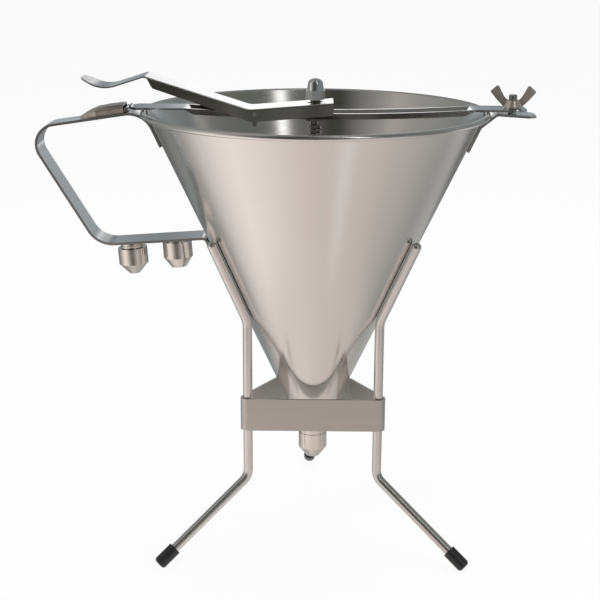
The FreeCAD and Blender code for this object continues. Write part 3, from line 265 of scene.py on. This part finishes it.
FINISH_OF = {
    "cone_body": "cone",
    "rim_bead": "cone",
    "spout": "turned",
    "handle_strip": "strip",
    "latch_hood": "pressed",
    "hook_pin": "small",
    "outer_boss": "turned",
    "inner_boss": "turned",
    "wing_nut_bracket": "sheet",
    "clamp_stud": "small",
    "bridge_bar": "sheet",
    "hinge_block": "small",
    "spring_washer": "dim",
    "lever": "lever",
    "pivot_pin": "small",
    "plunger_rod": "dim",
    "acorn_nut": "chrome",
    "spring_collar": "turned",
    "retaining_ring": "wire",
    "plug": "turned",
    "return_spring": "wire",
    "clamp_washer": "small",
    "wing_nut": "cast",
    "mounted_nozzle": "turned",
    "outer_spare_nozzle": "turned",
    "inner_spare_nozzle": "turned",
    "mounted_nozzle_seal": "seal",
    "outer_spare_nozzle_seal": "seal",
    "inner_spare_nozzle_seal": "seal",
    "collar_band": "band",
    "leg_front_left": "rod",
    "leg_front_right": "rod",
    "leg_rear": "rod",
    "foot_cap_front_left": "cap",
    "foot_cap_front_right": "cap",
    "foot_cap_rear": "cap",
}


def give_finish(piece, finish):
    piece.data.materials.clear()
    piece.data.materials.append(FINISHES[finish])


# Studio

SKY_COLOUR = (0.93, 0.95, 1.0, 1)
SKY_STRENGTH = 0.45
BACKGROUND_STRENGTH = 1.0
WHITE = (1, 1, 1, 1)

FLOOR_RADIUS = 9.0
FLOOR_SIDES = 96
FLOOR_SINK = 0.0002
FLOOR_COLOUR = (0.9, 0.9, 0.9, 1)
FLOOR_ROUGHNESS = 0.9
FLOOR_GLOW = 0.92

# Each lamp has its name, place, size, power and colour.
LAMPS = [
    ("key", (-1.1, -1.3, 1.5), (0.8, 0.8), 16, (1.0, 0.97, 0.94)),
    ("fill", (1.4, -0.9, 1.0), (0.7, 0.9), 8, (0.94, 0.97, 1.0)),
    ("top", (0.1, 0.3, 1.8), (1.2, 1.2), 14, (1, 1, 1)),
]
LAMP_AIM = Vector((0, 0, 0.1))


def make_camera():
    ahead = Vector((
        math.sin(CAMERA_PAN) * math.cos(CAMERA_PITCH),
        math.cos(CAMERA_PAN) * math.cos(CAMERA_PITCH),
        -math.sin(CAMERA_PITCH),
    ))
    level = ahead.cross(Vector((0, 0, 1))).normalized()
    upright = level.cross(ahead)
    right = level * math.cos(CAMERA_ROLL) + upright * math.sin(CAMERA_ROLL)
    up = upright * math.cos(CAMERA_ROLL) - level * math.sin(CAMERA_ROLL)
    data = bpy.data.cameras.new("camera")
    data.lens = CAMERA_LENS
    data.sensor_width = SENSOR_WIDTH
    camera = bpy.data.objects.new("camera", data)
    turn = Matrix((right, up, -ahead)).transposed().to_4x4()
    camera.matrix_world = Matrix.Translation(CAMERA_PLACE) @ turn
    bpy.context.collection.objects.link(camera)
    bpy.context.scene.camera = camera


def background_rays(tree):
    """One for rays that see the background as the camera, metal or glass do, else nought."""
    path = tree.nodes.new("ShaderNodeLightPath")
    first = tree.nodes.new("ShaderNodeMath")
    first.operation = "MAXIMUM"
    second = tree.nodes.new("ShaderNodeMath")
    second.operation = "MAXIMUM"
    tree.links.new(path.outputs["Is Camera Ray"], first.inputs[0])
    tree.links.new(path.outputs["Is Glossy Ray"], first.inputs[1])
    tree.links.new(first.outputs[0], second.inputs[0])
    tree.links.new(path.outputs["Is Transmission Ray"], second.inputs[1])
    return second.outputs[0]


def make_world():
    world = bpy.data.worlds.new("studio")
    world.use_nodes = True
    bpy.context.scene.world = world
    tree = world.node_tree
    soft = tree.nodes["Background"]
    soft.inputs["Color"].default_value = SKY_COLOUR
    soft.inputs["Strength"].default_value = SKY_STRENGTH
    white = tree.nodes.new("ShaderNodeBackground")
    white.inputs["Color"].default_value = WHITE
    white.inputs["Strength"].default_value = BACKGROUND_STRENGTH
    mix = tree.nodes.new("ShaderNodeMixShader")
    tree.links.new(background_rays(tree), mix.inputs[0])
    tree.links.new(soft.outputs[0], mix.inputs[1])
    tree.links.new(white.outputs[0], mix.inputs[2])
    tree.links.new(mix.outputs[0], tree.nodes["World Output"].inputs["Surface"])


def make_floor():
    clear_selection()
    bpy.ops.mesh.primitive_circle_add(
        vertices=FLOOR_SIDES,
        radius=FLOOR_RADIUS,
        fill_type="NGON",
        location=(0, 0, FLOOR_HEIGHT - FLOOR_SINK),
    )
    floor = bpy.context.object
    floor.name = "floor"
    finish = Finish("white table")
    finish.shader.inputs["Base Color"].default_value = FLOOR_COLOUR
    finish.shader.inputs["Roughness"].default_value = FLOOR_ROUGHNESS
    glow = finish.add("ShaderNodeEmission")
    glow.inputs["Color"].default_value = WHITE
    share = finish.add("ShaderNodeMath", operation="MULTIPLY")
    share.inputs[1].default_value = FLOOR_GLOW
    finish.join(background_rays(finish.tree), share.inputs[0])
    mix = finish.add("ShaderNodeMixShader")
    finish.join(share.outputs[0], mix.inputs[0])
    finish.join(finish.shader.outputs[0], mix.inputs[1])
    finish.join(glow.outputs[0], mix.inputs[2])
    finish.join(mix.outputs[0], finish.output.inputs["Surface"])
    floor.data.materials.append(finish.material)


# What the metal mirrors. Each list gives azimuths in degrees, nought towards the camera and
# growing towards +X, with the colour that lies that way.
TABLE_CLOSE = [
    (-180, (0.45, 0.46, 0.46)),
    (-112, (0.50, 0.47, 0.45)),
    (-78, (0.81, 0.73, 0.69)),
    (-20, (0.79, 0.71, 0.67)),
    (8, (0.73, 0.645, 0.60)),
    (37, (0.70, 0.62, 0.58)),
    (75, (0.66, 0.60, 0.56)),
    (110, (0.50, 0.48, 0.45)),
    (180, (0.50, 0.47, 0.45)),
]
TABLE_NEAR = [
    (-180, (0.40, 0.42, 0.42)),
    (-146, (0.25, 0.29, 0.30)),
    (-120, (0.28, 0.28, 0.26)),
    (-108, (0.42, 0.40, 0.38)),
    (-97, (0.68, 0.64, 0.61)),
    (-80, (0.91, 0.83, 0.79)),
    (-66, (1.02, 0.93, 0.89)),
    (-30, (0.87, 0.78, 0.73)),
    (-7, (0.74, 0.65, 0.60)),
    (15, (0.71, 0.63, 0.585)),
    (24, (0.80, 0.76, 0.74)),
    (32, (0.70, 0.63, 0.59)),
    (60, (0.58, 0.53, 0.49)),
    (90, (0.45, 0.43, 0.41)),
    (110, (0.35, 0.35, 0.33)),
    (135, (0.44, 0.44, 0.43)),
    (180, (0.50, 0.47, 0.45)),
]
TABLE_FAR = [
    (-180, (0.30, 0.31, 0.32)),
    (-150, (0.14, 0.14, 0.14)),
    (-112, (0.30, 0.29, 0.27)),
    (-86, (0.60, 0.56, 0.53)),
    (-72, (0.98, 0.92, 0.88)),
    (-50, (0.92, 0.86, 0.81)),
    (-32, (0.40, 0.37, 0.34)),
    (-16, (0.12, 0.11, 0.10)),
    (0, (0.13, 0.12, 0.11)),
    (16, (0.36, 0.33, 0.31)),
    (34, (0.58, 0.54, 0.51)),
    (56, (0.42, 0.39, 0.37)),
    (76, (0.10, 0.10, 0.09)),
    (86, (0.12, 0.12, 0.11)),
    (106, (0.78, 0.74, 0.71)),
    (122, (0.60, 0.58, 0.56)),
    (142, (0.14, 0.14, 0.14)),
    (180, (0.30, 0.31, 0.32)),
]
TABLE_END = [
    (-180, (0.80, 0.82, 0.84)),
    (-140, (0.30, 0.33, 0.34)),
    (-80, (0.16, 0.16, 0.16)),
    (0, (0.05, 0.05, 0.045)),
    (80, (0.14, 0.14, 0.13)),
    (140, (0.40, 0.40, 0.40)),
    (180, (0.80, 0.82, 0.84)),
]
ROOM_LOW = [
    (-180, (1.4, 1.4, 1.4)),
    (-174.5, (1.4, 1.4, 1.4)),
    (-172.5, (0.42, 0.44, 0.45)),
    (-169, (0.22, 0.25, 0.27)),
    (-165, (0.44, 0.48, 0.50)),
    (-150, (0.26, 0.28, 0.29)),
    (-92, (0.34, 0.34, 0.33)),
    (-72, (0.80, 0.76, 0.73)),
    (-56, (0.55, 0.52, 0.50)),
    (-38, (0.10, 0.10, 0.09)),
    (4, (0.07, 0.07, 0.065)),
    (24, (0.16, 0.17, 0.17)),
    (60, (0.24, 0.27, 0.28)),
    (100, (0.20, 0.22, 0.23)),
    (150, (0.26, 0.29, 0.30)),
    (164, (0.50, 0.54, 0.56)),
    (169, (0.24, 0.27, 0.28)),
    (172.5, (0.42, 0.44, 0.45)),
    (174.5, (1.4, 1.4, 1.4)),
    (180, (1.4, 1.4, 1.4)),
]
ROOM_HIGH = [
    (-180, (0.14, 0.14, 0.14)),
    (-165, (0.30, 0.30, 0.30)),
    (-144, (0.23, 0.24, 0.23)),
    (-92, (0.35, 0.35, 0.33)),
    (-72, (0.47, 0.44, 0.41)),
    (-60, (0.33, 0.33, 0.32)),
    (-38, (0.18, 0.18, 0.175)),
    (-25, (0.05, 0.05, 0.042)),
    (-12, (0.05, 0.05, 0.042)),
    (4, (0.14, 0.14, 0.13)),
    (25, (0.15, 0.15, 0.14)),
    (28, (1.7, 1.7, 1.68)),
    (34, (1.7, 1.7, 1.68)),
    (37, (0.15, 0.15, 0.14)),
    (60, (0.135, 0.145, 0.135)),
    (97, (0.19, 0.19, 0.18)),
    (109, (0.36, 0.36, 0.34)),
    (119, (0.18, 0.20, 0.205)),
    (146, (0.26, 0.28, 0.27)),
    (165, (0.30, 0.31, 0.31)),
    (180, (0.14, 0.14, 0.14)),
]

# Distances from the axis over which one ring of the table passes to the next
TABLE_MIDDLE = (0.11, 0.21)
TABLE_EDGE = (0.42, 0.72)
TABLE_BEYOND = (1.3, 1.8)
TABLE_RADIUS = 2.45
TABLE_SIDES = 128
TABLE_LIFT = 0.0004
ROOM_RADIUS = 2.5
ROOM_SEGMENTS = 90
ROOM_RINGS = 36

# Heights between which the low part of the room passes to the high part
ROOM_STEP = (0.55, 0.95)


def azimuth_share(finish):
    """The azimuth of a point of the studio as a share of the whole turn."""
    split = finish.add("ShaderNodeSeparateXYZ")
    finish.join(finish.position(), split.inputs[0])
    ahead = finish.add("ShaderNodeMath", operation="MULTIPLY")
    finish.join(split.outputs["Y"], ahead.inputs[0])
    ahead.inputs[1].default_value = -1.0
    angle = finish.add("ShaderNodeMath", operation="ARCTAN2")
    finish.join(split.outputs["X"], angle.inputs[0])
    finish.join(ahead.outputs[0], angle.inputs[1])
    share = finish.add("ShaderNodeMath", operation="MULTIPLY_ADD")
    finish.join(angle.outputs[0], share.inputs[0])
    share.inputs[1].default_value = 0.5 / math.pi
    share.inputs[2].default_value = 0.5
    return share.outputs[0]


def colours_round(finish, stops):
    """The colour that a list of azimuths gives at a point."""
    ramp = finish.add("ShaderNodeValToRGB")
    finish.join(azimuth_share(finish), ramp.inputs[0])
    elements = ramp.color_ramp.elements
    ends = list(elements)
    for element, (degrees, colour) in zip(ends, (stops[0], stops[-1])):
        element.position = degrees / 360 + 0.5
        element.color = (*colour, 1)
    for degrees, colour in stops[1:-1]:
        elements.new(degrees / 360 + 0.5).color = (*colour, 1)
    return ramp.outputs["Color"]


def passing_to(finish, source, span, first, second):
    """One colour up to the span's start and another from its end, mixed smoothly between."""
    share = finish.add("ShaderNodeMapRange", interpolation_type="SMOOTHSTEP")
    finish.join(source, share.inputs["Value"])
    share.inputs["From Min"].default_value = span[0]
    share.inputs["From Max"].default_value = span[1]
    mix = finish.add("ShaderNodeMix", data_type="RGBA")
    finish.join(share.outputs["Result"], mix.inputs["Factor"])
    finish.join(first, mix.inputs["A"])
    finish.join(second, mix.inputs["B"])
    return mix.outputs["Result"]


def mirrored_only(piece, finish, colour):
    """A glowing piece of the studio that only shows in the metal."""
    glow = finish.add("ShaderNodeEmission")
    finish.join(colour, glow.inputs["Color"])
    finish.join(glow.outputs[0], finish.output.inputs["Surface"])
    piece.data.materials.append(finish.material)
    piece.visible_camera = False
    piece.visible_diffuse = False
    piece.visible_shadow = False
    piece.visible_transmission = False


def make_table_glow():
    """The warm table top that the cone, the rods and the collar mirror."""
    clear_selection()
    bpy.ops.mesh.primitive_circle_add(
        vertices=TABLE_SIDES,
        radius=TABLE_RADIUS,
        fill_type="NGON",
        location=(0, 0, FLOOR_HEIGHT + TABLE_LIFT),
    )
    table = bpy.context.object
    table.name = "table glow"
    finish = Finish("table glow")
    distance = finish.add("ShaderNodeVectorMath", operation="LENGTH")
    finish.join(finish.position(), distance.inputs[0])
    colour = colours_round(finish, TABLE_CLOSE)
    rings = ((TABLE_MIDDLE, TABLE_NEAR), (TABLE_EDGE, TABLE_FAR), (TABLE_BEYOND, TABLE_END))
    for ring, stops in rings:
        colour = passing_to(finish, distance.outputs["Value"], ring, colour, colours_round(finish, stops))
    mirrored_only(table, finish, colour)


def make_room():
    """The room that the metal mirrors: a white strip behind the object, dim walls and a lamp."""
    clear_selection()
    bpy.ops.mesh.primitive_uv_sphere_add(
        segments=ROOM_SEGMENTS, ring_count=ROOM_RINGS, radius=ROOM_RADIUS)
    room = bpy.context.object
    room.name = "room"
    bpy.ops.object.mode_set(mode="EDIT")
    bpy.ops.mesh.select_all(action="SELECT")
    bpy.ops.mesh.bisect(plane_co=(0, 0, FLOOR_HEIGHT), plane_no=(0, 0, 1), clear_inner=True)
    bpy.ops.object.mode_set(mode="OBJECT")
    finish = Finish("room")
    height = finish.add("ShaderNodeSeparateXYZ")
    finish.join(finish.position(), height.inputs[0])
    low = colours_round(finish, ROOM_LOW)
    high = colours_round(finish, ROOM_HIGH)
    mirrored_only(room, finish, passing_to(finish, height.outputs["Z"], ROOM_STEP, low, high))


def make_light(name, place, size, power, colour):
    data = bpy.data.lights.new(name, "AREA")
    data.shape = "RECTANGLE"
    data.size, data.size_y = size
    data.energy = power
    data.color = colour
    light = bpy.data.objects.new(name, data)
    aim = LAMP_AIM - Vector(place)
    light.matrix_world = Matrix.Translation(place) @ aim.to_track_quat("-Z", "Y").to_matrix().to_4x4()
    light.visible_glossy = False
    bpy.context.collection.objects.link(light)


def make_studio():
    make_world()
    make_floor()
    make_table_glow()
    make_room()
    for lamp in LAMPS:
        make_light(*lamp)


for node, finish in FINISH_OF.items():
    give_finish(nodes[node], finish)

make_camera()
make_studio()
bpy.context.scene.view_settings.view_transform = "Standard"
